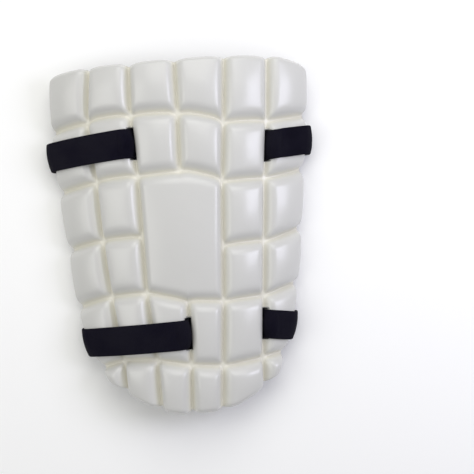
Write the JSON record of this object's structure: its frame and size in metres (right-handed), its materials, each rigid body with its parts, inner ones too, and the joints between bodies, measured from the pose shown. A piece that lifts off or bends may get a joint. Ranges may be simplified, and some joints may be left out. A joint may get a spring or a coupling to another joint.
{
  "type": "cricket thigh guard",
  "caption": "Curved, quilted foam thigh guard with a soft black lining and elastic thigh straps that thread through slots in its grooves.",
  "frame": {"origin": "middle of the underside, on the surface that the guard lies on", "axes": "+Z out of the quilted front, +Y towards the waist end, +X to the right seen from the front"},
  "size_m": [0.299, 0.3874, 0.0723],
  "materials": {
    "moulded_foam": "satin pearl-white moulded foam skin, creamier in the grooves",
    "lining_felt": "brushed charcoal lining",
    "ribbed_elastic": "black elastic with fine lengthwise ribs",
    "tab_webbing": "navy-black webbing, smooth and slightly lustrous"
  },
  "bodies": {
    "root": {"shell": "moulded_foam", "lining": "lining_felt", "upper_strap": "ribbed_elastic", "lower_strap": "ribbed_elastic", "upper_tab": "tab_webbing", "lower_tab": "tab_webbing", "upper_end": "tab_webbing", "lower_end": "tab_webbing"}
  },
  "joints": []
}
